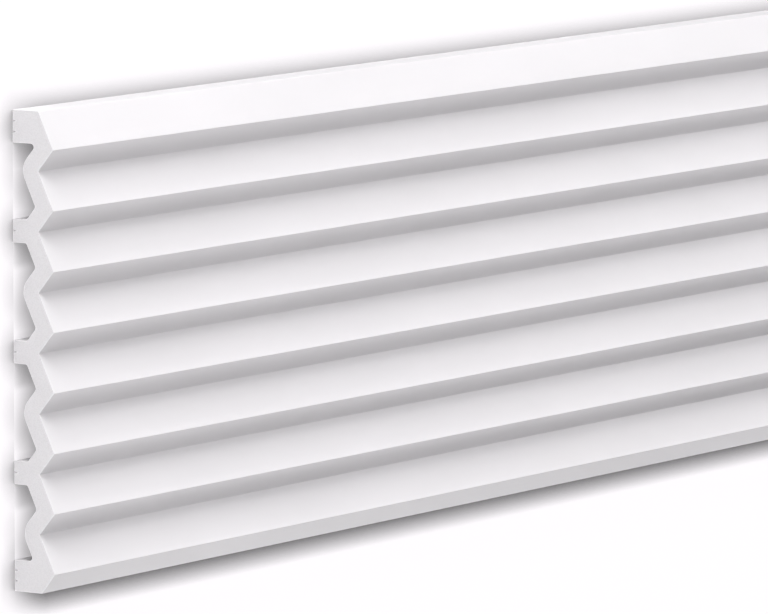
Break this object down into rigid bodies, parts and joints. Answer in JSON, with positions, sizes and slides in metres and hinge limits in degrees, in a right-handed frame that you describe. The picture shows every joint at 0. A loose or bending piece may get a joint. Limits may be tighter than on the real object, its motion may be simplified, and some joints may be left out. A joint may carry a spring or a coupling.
{
  "type": "wall panel",
  "caption": "Long flat foam moulding with a front of sloping overlapping boards and a hollowed back on flat glue feet, for covering a wall.",
  "frame": {"origin": "middle of the back plane, on which the feet lie, halfway along and halfway up the panel", "axes": "+X along the length, +Y from the bottom long edge to the top one, +Z out of the ridged front"},
  "size_m": [2, 0.25, 0.0254],
  "materials": {
    "primed_foam": "matt white primer over fine rigid foam, which is bare at the two sawn ends"
  },
  "bodies": {
    "root": {"wall_panel": "primed_foam"}
  },
  "joints": []
}
